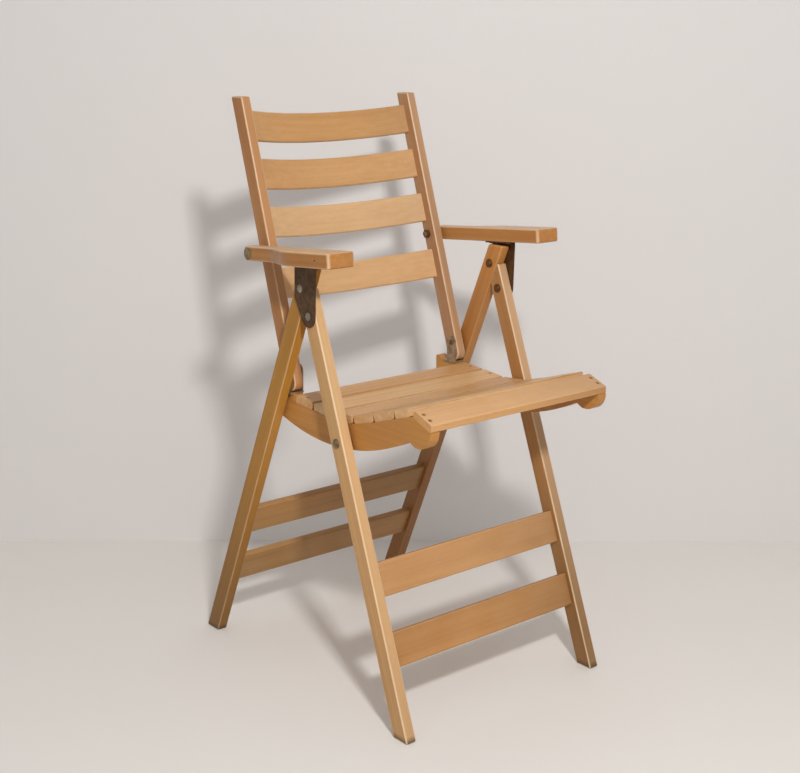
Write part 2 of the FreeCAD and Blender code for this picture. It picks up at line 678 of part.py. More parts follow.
def stop_pin():
    """Pin in the rear leg whose barrel the seat hinge comes up against."""
    body = new_body("stop_pin")
    section = [
        ("-stop_length", "0"),
        ("-stop_length", "stop_radius"),
        ("0", "stop_radius"),
        ("0", "stop_shank_radius"),
        ("stop_shank_length", "stop_shank_radius"),
        ("stop_shank_length", "0"),
    ]
    turn(body, outline(body, "XY_Plane", section), "H_Axis")
    return place(body, "leg_inner", "stop_y", "stop_z")


def armrest(drills):
    """Arm with a straight inner edge and an S-curved outer edge."""
    body = new_body("armrest")
    plan = [
        ("arm_inner", "-arm_front_reach"),
        ("arm_front_edge", "-arm_front_reach"),
        ("arm_front_edge", "-arm_curve_end"),
        ("arm_rear_edge", "-arm_curve_start"),
        ("arm_rear_edge", "arm_rear_reach"),
        ("arm_inner", "arm_rear_reach"),
    ]
    pad(body, outline(body, "XY_Plane", plan), "arm_thickness", both_ways=True)

    def upright(edge, y):
        return runs_along(edge, UPWARDS) and near(middle(edge), y=y)

    ease_edges(body, "arm_curve_radius",
               lambda edge: upright(edge, "-arm_curve_end") or upright(edge, "-arm_curve_start"))
    ease_edges(body, "arm_front_corner", lambda edge: upright(edge, "-arm_front_reach"))
    ease_edges(body, "arm_rear_corner", lambda edge: upright(edge, "arm_rear_reach"))
    ease_edges(body, "arm_arris", lambda edge: abs(middle(edge).z) > value("arm_thickness") / 2.01)
    pocket(body, circle(body, "YZ_Plane", "0", "0", "bolt_radius + running_gap"))
    peg_hole = circle(body, "YZ_Plane", "-arm_hole_reach", "0", "arm_hole_radius",
                      lift="arm_front_edge")
    pocket(body, peg_hole, "arm_hole_depth")
    place(body, "0", "arm_bolt_y", "arm_bolt_z", "-arm_tilt")
    return drilled("armrest_left", body, drills)


def arm_frame_spot(run, rise):
    """Formulas of a point given in the tilted frame of the arm pivot."""
    y = f"arm_pivot_y + ({run}) * cos(arm_tilt) + ({rise}) * sin(arm_tilt)"
    z = f"arm_pivot_z - ({run}) * sin(arm_tilt) + ({rise}) * cos(arm_tilt)"
    return y, z


def flange_screws(maker):
    """The two screws, or their drills, that hold a bracket under the arm."""
    pieces = []
    for number, run in enumerate(("-front_hole_reach", "rear_hole_reach"), start=1):
        piece = maker(f"{maker.__name__}_flange_{number}")
        y, z = arm_frame_spot(run, "arm_underside - sheet_thickness")
        place(piece, "leg_half_span - flange_hole_inset", y, z, "180 - arm_tilt")
        pieces.append(piece)
    return pieces


def arm_bracket(drills):
    """Sheet bracket: a plate outside the legs and a flange under the arm."""
    body = new_body("arm_bracket")
    front_foot = ("bracket_tip * cos(neck_turn)", "bracket_tip * sin(neck_turn)")
    rear_foot = ("bracket_tip * cos(tip_turn)", "bracket_tip * sin(tip_turn)")
    plate = [
        ("-bracket_front", "arm_underside"),
        ("-bracket_front", "neck_rise"),
        (*front_foot, "bracket_tip", 1),
        rear_foot,
        ("bracket_shoulder_reach", "bracket_shoulder_rise"),
        ("bracket_rear", "neck_rise"),
        ("bracket_rear", "arm_underside"),
    ]
    pad(body, outline(body, "YZ_Plane", plate, lift="sheet_inner"), "sheet_thickness")
    strip = [
        ("-bracket_front", "arm_underside - sheet_thickness"),
        ("bracket_rear", "arm_underside - sheet_thickness"),
        ("bracket_rear", "arm_underside"),
        ("-bracket_front", "arm_underside"),
    ]
    pad(body, outline(body, "YZ_Plane", strip, lift="flange_inner"),
        "sheet_outer - flange_inner")

    def bend(edge, x, z):
        return edge.Length > value("bracket_front") and near(middle(edge), x=x, z=z)

    ease_edges(body, "bend_radius",
               lambda edge: bend(edge, "sheet_inner", "arm_underside - sheet_thickness"))
    ease_edges(body, "bend_radius + sheet_thickness",
               lambda edge: bend(edge, "sheet_outer", "arm_underside"))
    pocket(body, circle(body, "YZ_Plane", "0", "0", "rivet_radius + running_gap"))
    pivot_y = "(rear_pivot_y - arm_pivot_y)"
    pivot_z = "(rear_pivot_z - arm_pivot_z)"
    across = f"{pivot_y} * cos(arm_tilt) - {pivot_z} * sin(arm_tilt)"
    along = f"{pivot_y} * sin(arm_tilt) + {pivot_z} * cos(arm_tilt)"
    pocket(body, circle(body, "YZ_Plane", across, along, "rivet_radius + running_gap"))
    place(body, "0", "arm_pivot_y", "arm_pivot_z", "-arm_tilt")
    return drilled("arm_bracket_left", body, drills)


def seat_facet(number):
    """Formulas of a slat's rear and front knees and its rise."""
    before = number - 1
    rear = (f"knee_{before}_run", f"knee_{before}_rise")
    front = (f"knee_{number}_run", f"knee_{number}_rise")
    return rear, front, f"slat_{number}_rise"


def ledge_corner(number):
    """Formulas of the rail's corner under the knee between two slats."""
    lean = f"((slat_{number}_rise + slat_{number + 1}_rise) / 2)"
    bend = f"((slat_{number}_rise - slat_{number + 1}_rise) / 2)"
    drop = f"slat_thickness / cos({bend})"
    run = f"knee_{number}_run - {drop} * sin({lean})"
    rise = f"knee_{number}_rise - {drop} * cos({lean})"
    return run, rise


def seat_rail(drills):
    """Side rail of the seat, with a facet for each slat and a round nose."""
    body = new_body("seat_rail")
    ledge = [ledge_corner(number) for number in range(1, 6)]
    heel = "dish_reach + heel_length"
    under_board = "board_rise - board_under - (board_run - nose_run) * tan(board_fall)"
    side = [
        (heel, "dish_rise - heel_depth"),
        (heel, "dish_rise + heel_step"),
        ("dish_reach + hinge_seat_length", "dish_rise"),
        ("dish_reach", "dish_rise"),
        ("dish_reach", "dish_rise - slat_thickness / cos(slat_1_rise)"),
        *ledge,
        ("knee_6_run - slat_thickness * sin(slat_6_rise)",
         "knee_6_rise - slat_thickness * cos(slat_6_rise)"),
        ("board_run + board_thickness * sin(board_fall)",
         "board_rise - board_thickness * cos(board_fall)"),
        ("nose_run", under_board),
        ("nose_run", "nose_rise"),
        ("nose_run + nose_flat", "nose_rise"),
        ("throat_run", "throat_rise", "belly_radius", 1),
    ]
    pad(body, outline(body, "YZ_Plane", side), "seat_rail_thickness")

    def corner(edge, y, z):
        return runs_along(edge, SIDEWAYS) and near(middle(edge), y=y, z=z)

    ease_edges(body, "nose_radius", lambda edge: corner(edge, "nose_run", "nose_rise"))
    ease_edges(body, "nose_foot_radius",
               lambda edge: corner(edge, "nose_run + nose_flat", "nose_rise")
               or corner(edge, "throat_run", "throat_rise"))
    ease_edges(body, "heel_radius", lambda edge: corner(edge, heel, "dish_rise + heel_step")
               or corner(edge, heel, "dish_rise - heel_depth"))
    pocket(body, circle(body, "YZ_Plane", "0", "0", "bolt_radius + running_gap"))
    place(body, "rail_inner", "seat_pivot_y", "seat_pivot_z")
    return drilled("seat_rail_left", body, drills)


def seat_slat(number, width, drills):
    """Flat slat that lies on its facet of the two rails."""
    body = new_body(f"slat_{number}")
    section = rectangle("0", "-slat_thickness / 2", width, "slat_thickness")
    pad(body, outline(body, "YZ_Plane", section), "2 * slat_half_length", both_ways=True)
    ease_edges(body, "slat_arris", lambda edge: runs_along(edge, SIDEWAYS))
    y, z = facet_middle(number)
    place(body, "0", y, z, f"-slat_{number}_rise")
    return drilled(f"seat_slat_{number}", body, drills)


def facet_middle(number):
    """Formulas of the middle of a slat's top."""
    rear, front, _ = seat_facet(number)
    return (f"seat_pivot_y + ({rear[0]} + {front[0]}) / 2",
            f"seat_pivot_z + ({rear[1]} + {front[1]}) / 2")


def slat_screws(maker):
    """The left screw of each slat, or its drill, square to the slat."""
    pieces = []
    for number in range(1, 7):
        piece = maker(f"{maker.__name__}_slat_{number}")
        y, z = facet_middle(number)
        pieces.append(place(piece, "screw_line", y, z, f"-slat_{number}_rise"))
    return pieces


def board_screws(maker):
    """The two left screws of the front board, or their drills."""
    pieces = []
    for number, back in enumerate(("board_hole_inset", "board_depth - board_hole_inset"), start=1):
        piece = maker(f"{maker.__name__}_board_{number}")
        y = f"seat_pivot_y + board_run - ({back})"
        z = f"seat_pivot_z + board_rise - ({back}) * tan(board_fall)"
        pieces.append(place(piece, "screw_line", y, z, "board_fall"))
    return pieces


def front_board(drills):
    """Board over the seat's front edge, falling towards the front."""
    body = new_body("front_board")
    section = [
        ("board_run", "board_rise"),
        ("board_run + board_thickness * sin(board_fall)",
         "board_rise - board_thickness * cos(board_fall)"),
        ("board_front_run", "board_front_rise - board_under"),
        ("board_front_run", "board_front_rise"),
    ]
    pad(body, outline(body, "YZ_Plane", section), "2 * slat_half_length", both_ways=True)
    ease_edges(body, "board_arris", lambda edge: runs_along(edge, SIDEWAYS))
    place(body, "0", "seat_pivot_y", "seat_pivot_z")
    return drilled("seat_front_board", body, drills)


def back_stile():
    """Side post of the back, with a round foot and mortises for the slats."""
    body = new_body("back_stile_left")
    half = "stile_width / 2"
    foot = "-(stile_bolt_up + stile_foot)"
    side = [
        (f"-{half}", f"{foot} + {half}", half, 1),
        ("0", foot, half, 1),
        (half, f"{foot} + {half}"),
        (half, f"stile_top + {half} * tan(stile_lean)"),
        (f"-{half}", f"stile_top - {half} * tan(stile_lean)"),
    ]
    pad(body, outline(body, "YZ_Plane", side), "stile_thickness")
    ease_edges(body, "leg_arris", lambda edge: True)
    for along in slat_heights():
        width = "back_tenon_thickness + 2 * mortise_play"
        height = "back_slat_height - 2 * tenon_shoulder + 2 * mortise_play"
        across = "back_slat_set + slat_end_depth / 2"
        slot = outline(body, "YZ_Plane", rectangle(across, along, width, height))
        pocket(body, slot, "back_tenon_length + mortise_play", reverse=True)
    for end in ("stile_half", "-stile_half"):
        radius = "bolt_radius" if end == "stile_half" else "rivet_radius"
        pivot = circle(body, "YZ_Plane", f"{end} * sin(stile_skew)", f"{end} * cos(stile_skew)",
                       f"{radius} + running_gap")
        pocket(body, pivot)
    return place(body, "stile_inner", "stile_mid_y", "stile_mid_z", "-stile_lean")


def slat_heights():
    """Formulas of the middles of the back slats along the stile, from the top down."""
    upper = [f"stile_top - top_slat_drop - {step} * upper_slat_pitch" for step in range(3)]
    return upper + ["stile_bolt_up - slat_below_bolt"]


def back_slat(number, up):
    """Bowed board with a straight tenon at each end."""
    body = new_body(f"back_slat_{number}")
    bow = [
        ("-stile_inner", "0", "bow_radius", -1),
        ("stile_inner", "0"),
        ("stile_inner", "slat_end_depth", "bow_outer_radius", 1),
        ("-stile_inner", "slat_end_depth"),
    ]
    pad(body, outline(body, "XY_Plane", bow), "back_slat_height", both_ways=True)
    ease_edges(body, "back_slat_arris", lambda edge: edge.Curve.TypeId == "Part::GeomCircle",
               "Chamfer", "Size")
    for side in ("", "-"):
        middle_x = f"{side}(stile_inner + back_tenon_length / 2 - mortise_play)"
        tenon = rectangle(middle_x, "slat_end_depth / 2",
                          "back_tenon_length + 2 * mortise_play", "back_tenon_thickness")
        pad(body, outline(body, "XY_Plane", tenon),
            "back_slat_height - 2 * tenon_shoulder", both_ways=True)
    y = f"stile_mid_y + ({up}) * sin(stile_lean) + back_slat_set * cos(stile_lean)"
    z = f"stile_mid_z + ({up}) * cos(stile_lean) - back_slat_set * sin(stile_lean)"
    return place(body, "0", y, z, "-stile_lean")


def hinge_screws(maker):
    """The two screws, or their drills, of a back hinge's foot."""
    pieces = []
    spread = "(leaf_length / 2 - leaf_screw_inset)"
    for number, side in enumerate(("-", "+"), start=1):
        piece = maker(f"{maker.__name__}_hinge_{number}", "short_screw_length", "flush_sink")
        y = f"seat_pivot_y + leaf_run {side} {spread}"
        z = "seat_pivot_z + dish_rise + leaf_thickness"
        pieces.append(place(piece, "screw_line", y, z))
    return pieces


def back_hinge(drills):
    """Angle plate: an ear beside the stile's foot, and a foot on the seat rail.

    The foot reaches out past the rail, under the stop pin of the rear leg.
    """
    body = new_body("back_hinge")
    base = "dish_rise - link_z"
    ear = [
        ("-leaf_tip", base),
        ("leaf_tip", base),
        ("leaf_tip", "0", "leaf_tip", 1),
        ("0", "leaf_tip", "leaf_tip", 1),
        ("-leaf_tip", "0"),
    ]
    pad(body, outline(body, "YZ_Plane", ear, lift="ear_inner"), "leaf_thickness")
    foot = rectangle("leaf_run - link_y", f"{base} + leaf_thickness / 2",
                     "leaf_length", "leaf_thickness")
    pad(body, outline(body, "YZ_Plane", foot, lift="ear_inner"), "foot_outer - ear_inner")
    pocket(body, circle(body, "YZ_Plane", "0", "0", "rivet_radius + running_gap"))
    place(body, "0", "back_hinge_y", "back_hinge_z")
    return drilled("back_hinge_left", body, drills)


def make_front_frame():
    """Front legs, their rails and the seat bolts."""
    leg = front_leg()
    nodes = [leg, mirrored(leg, "front_leg_right")]
    for name in ("upper", "lower"):
        nodes.append(cross_rail(f"front_rail_{name}", "0", f"front_{name}_rail_up",
                                "-front_foot_reach", "-front_leg_lean"))
    seat_bolt = bolt("seat_bolt", "leg_half_span - rail_inner + side_gap + nut_height + bolt_end")
    place(seat_bolt, "leg_half_span", "seat_pivot_y", "seat_pivot_z")
    spacer = ring("seat_spacer", "bolt_radius + running_gap", "spacer_radius",
                  "leg_inner - side_plane - side_gap")
    place(spacer, "leg_inner", "seat_pivot_y", "seat_pivot_z")
    seat_nut = place(nut("seat_nut"), "rail_inner - side_gap", "seat_pivot_y", "seat_pivot_z")
    nodes.append(both_sides("seat_pivot_bolts", [seat_bolt]))
    nodes.append(both_sides("seat_pivot_spacers", [spacer]))
    nodes.append(both_sides("seat_pivot_nuts", [seat_nut]))
    return nodes


def make_rear_frame():
    """Rear legs, their rails and the stop pins."""
    leg = rear_leg()
    nodes = [leg, mirrored(leg, "rear_leg_right")]
    for name in ("upper", "lower"):
        nodes.append(cross_rail(f"rear_rail_{name}", "-rear_rail_forward",
                                f"rear_{name}_rail_up", "rear_foot_reach", "rear_leg_lean"))
    nodes.append(both_sides("seat_stop_pins", [stop_pin()]))
    return nodes


def make_arms():
    """Armrests, brackets, their screws and rivets, and the arm bolts."""
    arm = armrest(flange_screws(pan_drill))
    bracket = arm_bracket(list(arm.Tool.Links))
    nodes = [arm, mirrored(arm, "armrest_right"), bracket, mirrored(bracket, "arm_bracket_right")]
    nodes.append(both_sides("bracket_screws", flange_screws(pan_screw)))
    grip = "sheet_outer - leg_inner + rivet_washer_thickness"
    washers = []
    for name in ("arm", "rear"):
        pivot = (f"{name}_pivot_y", f"{name}_pivot_z")
        shank = place(rivet(f"{name}_rivet", grip), "sheet_outer", *pivot)
        washer = ring(f"{name}_washer", "rivet_radius + running_gap", "rivet_washer_radius",
                      "rivet_washer_thickness")
        washers.append(place(washer, "leg_inner", *pivot))
        node_name = "front_leg_rivets" if name == "arm" else "rear_leg_rivets"
        nodes.append(both_sides(node_name, [shank]))
    nodes.append(both_sides("leg_rivet_washers", washers))
    arm_bolt = bolt("arm_bolt", "arm_rear_edge - stile_inner + side_gap + nut_height + bolt_end")
    place(arm_bolt, "arm_rear_edge", "arm_bolt_y", "arm_bolt_z")
    spacer = ring("arm_spacer", "bolt_radius + running_gap", "spacer_radius",
                  "arm_inner - side_plane - side_gap")
    place(spacer, "arm_inner", "arm_bolt_y", "arm_bolt_z")
    arm_nut = place(nut("arm_nut"), "stile_inner - side_gap", "arm_bolt_y", "arm_bolt_z")
    nodes.append(both_sides("arm_pivot_bolts", [arm_bolt]))
    nodes.append(both_sides("arm_pivot_spacers", [spacer]))
    nodes.append(both_sides("arm_pivot_nuts", [arm_nut]))
    return nodes


def make_back():
    """Stiles and bowed slats."""
    stile = back_stile()
    nodes = [stile, mirrored(stile, "back_stile_right")]
    nodes += [back_slat(number, up) for number, up in enumerate(slat_heights(), start=1)]
    return nodes


def make_seat():
    """Rails, slats, front board, back hinges and their fasteners."""
    slat_drills = slat_screws(sunk_drill)
    board_drills = board_screws(sunk_drill)
    hinge_drills = hinge_screws(sunk_drill)
    rail = seat_rail(slat_drills + board_drills + hinge_drills)
    nodes = [rail, mirrored(rail, "seat_rail_right")]
    for number, drill in enumerate(slat_drills, start=1):
        width = "strip_width" if number == 6 else "slat_width"
        pair = [drill, mirrored(drill, drill.Name + "_other")]
        nodes.append(seat_slat(number, width, pair))
    others = [mirrored(drill, drill.Name + "_other") for drill in board_drills]
    nodes.append(front_board(board_drills + others))
    nodes.append(both_sides("slat_screws", slat_screws(sunk_screw)))
    nodes.append(both_sides("board_screws", board_screws(sunk_screw)))
    hinge = back_hinge(hinge_drills)
    nodes += [hinge, mirrored(hinge, "back_hinge_right")]
    nodes.append(both_sides("hinge_screws", hinge_screws(sunk_screw)))
    outer = "side_plane + side_gap + rivet_washer_thickness"
    hinge_rivet = rivet("hinge_rivet", f"{outer} - ear_inner")
    place(hinge_rivet, outer, "back_hinge_y", "back_hinge_z")
    washer = ring("hinge_washer", "rivet_radius + running_gap", "rivet_washer_radius",
                  "rivet_washer_thickness")
    place(washer, outer, "back_hinge_y", "back_hinge_z")
    nodes.append(both_sides("back_pivot_rivets", [hinge_rivet]))
    nodes.append(both_sides("back_pivot_washers", [washer]))
    return nodes


def check(nodes):
    """Stop if anything failed, and see that each sub-part is a sound shape."""
    for thing in doc.Objects:
        if "Invalid" in thing.State or "Error" in thing.State:
            raise RuntimeError(f"{thing.Label} is {thing.State}")
    for node in nodes:
        if node.Shape.isNull() or not node.Shape.isValid() or not node.Shape.Solids:
            raise RuntimeError(f"{node.Label} is not a sound shape")


def main():
    nodes = make_front_frame() + make_rear_frame() + make_arms() + make_back() + make_seat()
    doc.recompute()
    check(nodes)
    os.makedirs("parts", exist_ok=True)
    for node in nodes:
        node.Shape.exportStep(f"parts/{node.Label}.step")
        box = node.Shape.BoundBox
        print(f"{node.Label}: {len(node.Shape.Solids)} solid(s), "
              f"x {box.XMin:.1f} {box.XMax:.1f}, y {box.YMin:.1f} {box.YMax:.1f}, "
              f"z {box.ZMin:.1f} {box.ZMax:.1f}, {node.Shape.Volume:.0f} mm3")


main()
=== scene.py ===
# %% [markdown]
# # A folding wooden armchair
# The chair is a small machine of sticks: two leg frames, two arms, a slatted seat and a
# slatted back, which fold flat together. Its CAD model already has every stick at its
# true size. So this lesson gives each stick its varnished wood and each fitting its
# metal, models the screws again with their slots, adds a washer to each arm, and sets up
# the camera, the room and the light.

# %% Load the packed model
import bpy
import json
import math
import numpy
from mathutils import Matrix, Vector


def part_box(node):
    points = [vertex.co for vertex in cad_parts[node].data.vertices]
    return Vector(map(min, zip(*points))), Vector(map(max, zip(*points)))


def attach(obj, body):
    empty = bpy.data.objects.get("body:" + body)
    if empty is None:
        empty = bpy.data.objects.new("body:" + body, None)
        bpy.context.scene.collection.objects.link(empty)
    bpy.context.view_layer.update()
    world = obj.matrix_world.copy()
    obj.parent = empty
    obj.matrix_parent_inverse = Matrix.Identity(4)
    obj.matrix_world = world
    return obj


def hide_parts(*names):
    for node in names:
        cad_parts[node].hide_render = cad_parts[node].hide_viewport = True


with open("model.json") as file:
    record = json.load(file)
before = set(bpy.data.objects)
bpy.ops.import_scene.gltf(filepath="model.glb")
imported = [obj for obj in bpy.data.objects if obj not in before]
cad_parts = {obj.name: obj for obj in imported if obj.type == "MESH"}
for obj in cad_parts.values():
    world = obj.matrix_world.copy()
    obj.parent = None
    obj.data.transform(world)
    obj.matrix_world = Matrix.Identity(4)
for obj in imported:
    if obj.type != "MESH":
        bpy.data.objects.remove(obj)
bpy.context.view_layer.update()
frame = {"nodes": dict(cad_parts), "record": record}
nodes = frame["nodes"]

# %% [markdown]
# ## The camera
# The photograph was taken from the front and a little above, from the sitter's right. The
# picture's eye level lies above its middle. Tilting the camera further down would frame
# the chair too, but its upright lines would lean together. So the lens keeps its slight
# downward look and the frame is shifted down, as with a view camera.

# %% Camera
camera_lens = bpy.data.cameras.new("camera")
camera_lens.lens = 61.22
camera_lens.shift_y = -0.12
camera = bpy.data.objects.new("camera", camera_lens)
camera.location = (-1.3731, -1.6569, 0.9980)
camera.rotation_euler = (math.radians(79.788), math.radians(-0.181), math.radians(-39.551))
bpy.context.scene.collection.objects.link(camera)
bpy.context.scene.camera = camera
bpy.context.scene.view_settings.view_transform = "Standard"
print("camera at", [round(part, 3) for part in camera.location])

# %% [markdown]
# ## Materials from arithmetic
# Wood is a sum of patterns, so it reads best as arithmetic. The nodes could be placed and
# linked one by one, but the formula would be lost among them. Instead, a small class wraps
# a socket of the node tree: adding or multiplying two wires adds the Math node that does
# it.

# %% A wire that takes part in arithmetic
class Wire:
    """One output of a node."""

    def __init__(self, finish, socket):
        self.finish = finish
        self.socket = socket

    def __add__(self, other):
        return self.finish.math("ADD", self, other)

    __radd__ = __add__

    def __sub__(self, other):
        return self.finish.math("SUBTRACT", self, other)

    def __rsub__(self, other):
        return self.finish.math("SUBTRACT", other, self)

    def __mul__(self, other):
        return self.finish.math("MULTIPLY", self, other)

    __rmul__ = __mul__

    def sibling(self, output):
        """Another output of the same node."""
        return Wire(self.finish, self.socket.node.outputs[output])

    def clamped(self):
        """The same value, held between 0 and 1."""
        return self.finish.math("MINIMUM", self.finish.math("MAXIMUM", self, 0), 1)

    def wave(self):
        """A sine of the value, from 0 to 1."""
        return self.finish.math("SINE", self, 0) * 0.5 + 0.5

    def above(self, edge, blur):
        """0 below the edge and 1 above it, with a soft step between."""
        return ((self - (edge - blur / 2)) * (1 / blur)).clamped()


print("besides sums, a wire knows:", [name for name in vars(Wire) if name[0] != "_"])

# %% [markdown]
# ## A finish is a tree of nodes
# Varnish, plating and paint each become a material. Every node of it comes from one
# method, which takes the node's kind, its settings, and what its sockets hold or are
# linked to. Colours go through Mix nodes and places through Vector Math, because a Math
# node would turn them grey.

# %% A finish
class Finish:
    """A material and the nodes that make it."""

    def __init__(self, name):
        self.material = bpy.data.materials.new(name)
        self.material.use_nodes = True
        self.tree = self.material.node_tree
        self.tree.nodes.clear()

    def add(self, kind, settings, inputs, output=0):
        """Add a node: first its settings, then what its sockets hold or are linked to."""
        node = self.tree.nodes.new("ShaderNode" + kind)
        for name, setting in settings.items():
            setattr(node, name, setting)
        for name, value in inputs.items():
            if isinstance(value, Wire):
                self.tree.links.new(value.socket, node.inputs[name])
            else:
                node.inputs[name].default_value = value
        return Wire(self, node.outputs[output])

    def math(self, operation, first, second):
        """Work with two values."""
        return self.add("Math", {"operation": operation}, {0: first, 1: second})

    def mix(self, share, first, second):
        """Blend two colours."""
        return self.add("Mix", {"data_type": "RGBA"}, {0: share, 6: first, 7: second}, 2)

    def place(self, turn, shift):
        """Object coordinates, turned and moved."""
        spot = self.add("TexCoord", {}, {}, "Object")
        return self.add("Mapping", {}, {"Vector": spot, "Rotation": turn, "Location": shift})

    def stretched(self, place, waves):
        """Coordinates multiplied by a number across, through and along the grain."""
        return self.add("VectorMath", {"operation": "MULTIPLY"}, {0: place, 1: waves})

    def reach(self, place, way):
        """How far a place or a normal reaches along a way."""
        return self.add("VectorMath", {"operation": "DOT_PRODUCT"}, {0: place, 1: way}, "Value")

    def noise(self, place, detail, scale=1.0):
        """Cloudy pattern, from about 0 to 1."""
        return self.add("TexNoise", {}, {"Vector": place, "Scale": scale, "Detail": detail})

    def bumped(self, height, depth):
        """Surface normal that follows a height, with its depth in metres."""
        return self.add("Bump", {}, {"Height": height, "Distance": depth, "Strength": 1.0})

    def finished(self, **inputs):
        """End in the shader, whose sockets are named with _ for a space."""
        named = {name.replace("_", " "): value for name, value in inputs.items()}
        return self.ended(self.add("BsdfPrincipled", {}, named))

    def ended(self, shader):
        """Link a shader to the material's output."""
        end = self.tree.nodes.new("ShaderNodeOutputMaterial")
        self.tree.links.new(shader.socket, end.inputs["Surface"])
        return self.material


def colour(red, green, blue):
    """Screen colour from 0 to 255, as the linear light that nodes take."""
    linear = [(part / 255) ** 2.2 for part in (red, green, blue)]
    return (*linear, 1.0)


print("middle grey as light:", [round(part, 3) for part in colour(128, 128, 128)])

# %% [markdown]
# ## Grain
# The photograph shows a honey-coloured hardwood: faint growth rings, fine straight fibres,
# short dark pores and clouds of deeper colour. It could be one picture wrapped round each
# stick, but sawn wood has its pattern all through it, so here the pattern is a function of
# the place in space. Each part of it is cloudy noise pulled long along the grain, and so
# every stick first turns the coordinates until its own grain runs along one axis.

# %% Grain, as waves in a metre across, through and along it
CLOUDS = (16, 16, 3.0)
BENDS = (6, 6, 0.9)
STREAKS = (160, 160, 2.2)
FIBRES = (900, 900, 12)
PORES = (1500, 1500, 60)
AMBER_CLOUDS = (11, 11, 2.0)
RING_SPEED = 520
RING_BENDING = 22
PORE = colour(104, 62, 32)
AMBER = colour(206, 132, 66)


def grain(finish, place, stick, depth):
    """Colour of new wood, its fibres and its pores.

    Depth is how far the stick leans from its pale tone to its deep one.
    """
    clouds = finish.noise(finish.stretched(place, CLOUDS), 2.0)
    bend = finish.noise(finish.stretched(place, BENDS), 1.0)
    across = finish.add("SeparateXYZ", {}, {0: place}, "X")
    through = across.sibling("Y")
    radius = finish.math("SQRT", across * across + through * through, 0)
    rings = (radius * RING_SPEED + bend * RING_BENDING).wave()
    streaks = finish.noise(finish.stretched(place, STREAKS), 3.0)
    fibres = finish.noise(finish.stretched(place, FIBRES), 2.0)
    pores = finish.noise(finish.stretched(place, PORES), 1.0).above(0.70, 0.08)
    tone = clouds + rings * stick["rings"] + streaks * 0.8 + fibres * 0.25
    body = finish.mix((tone + (depth - 1.0)).clamped(), stick["pale"], stick["deep"])
    amber = finish.noise(finish.stretched(place, AMBER_CLOUDS), 1.0).above(0.55, 0.5)
    body = finish.mix(amber * 0.22, body, AMBER)
    return finish.mix(pores * 0.3, body, PORE), fibres, pores


print("a growth ring every", round(2000 * math.pi / RING_SPEED, 1), "mm")

# %% [markdown]
# ## Painted light, wear and dirt
# Faces towards the lamp, in front on the uprights and on top of the arms, are made paler
# as a painted sheen. Legs are painted darker towards the floor, and rails and slats towards
# the sitter's left, as painted shade where less light reaches; the ends of the feet are
# dirty. Where two faces meet, the corners are paler, partly varnish worn thin and partly
# a painted highlight; on the seat's slats they are darker instead, as painted shade in the
# gaps. The shape has a small flat there, a chamfer that faces neither way, and that is how
# it is found: of its normal, the share along one axis is neither 0 nor 1. A mask painted by
# hand would do too, but not after a change of shape.

# %% Wear and painted light
# Pale painted sheen on faces towards the lamp.
SHEEN_COLOUR = colour(236, 208, 176)
FOOT_DIRT = colour(74, 56, 40)
DIRT_HEIGHT = 0.007
# Strongest share of the painted shade, and of the dirt on the feet.
DARKEST = 0.75
CORNER_CLOUDS = (40, 40, 22)


def wear_and_painted_light(finish, body, place, stick):
    """Colour of the wood after years of use, with painted sheen, shade and highlights."""
    facing = finish.add("TexCoord", {}, {}, "Normal")
    # Painted sheen: faces towards the lamp are made paler.
    sheen_side = finish.reach(facing, stick["sheen_side"])
    body = finish.mix(sheen_side.above(0.75, 0.3) * stick["painted_sheen"], body, SHEEN_COLOUR)

    # Painted shade: darker towards the floor or the sitter's left, where less light reaches.
    spot = facing.sibling("Object")
    darker = finish.reach(spot, stick["darkens"]) + stick["from"]
    body = finish.mix(darker.clamped() * DARKEST, body, stick["dark"])
    height = finish.add("SeparateXYZ", {}, {0: spot}, "Z")
    body = finish.mix((1 - height.above(DIRT_HEIGHT, DIRT_HEIGHT)) * DARKEST, body, FOOT_DIRT)

    # Corners: pale as worn varnish and a painted highlight, or dark as painted shade in the
    # gaps between the seat's slats.
    turned = finish.add("Mapping", {"vector_type": "VECTOR"},
                        {"Vector": facing, "Rotation": stick["turn"]})
    faces = finish.add("SeparateXYZ", {}, {0: turned}, "X")
    corner = (faces * faces) * (1 - faces * faces) * 4
    patchy = finish.noise(finish.stretched(place, CORNER_CLOUDS), 2.0).above(0.42, 0.5)
    return finish.mix(corner * (patchy * 0.5 + 0.5) * stick["corner_share"], body, stick["corners"])


print("feet are dirty up to", round(DIRT_HEIGHT * 1500, 1), "mm")

# %% [markdown]
# ## Varnish
# The varnish is old and satin, and has sunk into the wood. A thick gloss coat would hide
# the fibres, so this one is thin and a little rough, and a shallow bump lets the fibres
# stand and the pores sink.

# %% Varnished wood
GRAIN_RELIEF = 0.00005


def wood(name, shift, stick, depth):
    """Varnished wood of one stick."""
    finish = Finish(name)
    place = finish.place(stick["turn"], shift)
    body, fibres, pores = grain(finish, place, stick, depth)
    body = wear_and_painted_light(finish, body, place, stick)
    relief = finish.bumped(fibres * 0.6 - pores, GRAIN_RELIEF)
    return finish.finished(Base_Color=body, Roughness=fibres * 0.16 + 0.34, Normal=relief,
                           Specular_IOR_Level=0.3, Coat_Weight=0.12, Coat_Roughness=0.2)


print("relief of the grain:", round(GRAIN_RELIEF * 1000, 2), "mm")

# %% [markdown]
# ## Where the grain runs
# Every stick is sawn along its grain. Legs and stiles lean in the side view, arms and
# seat rails lie front to back, and slats and cross rails run across the chair. One
# helper holds all that is said of a kind of stick, so that the list after it is short.

# %% What is said of one kind of stick
ACROSS = (0, math.radians(-90), 0)
FRONT = (0, -1, 0)
UPWARD = (0, 0, 1)
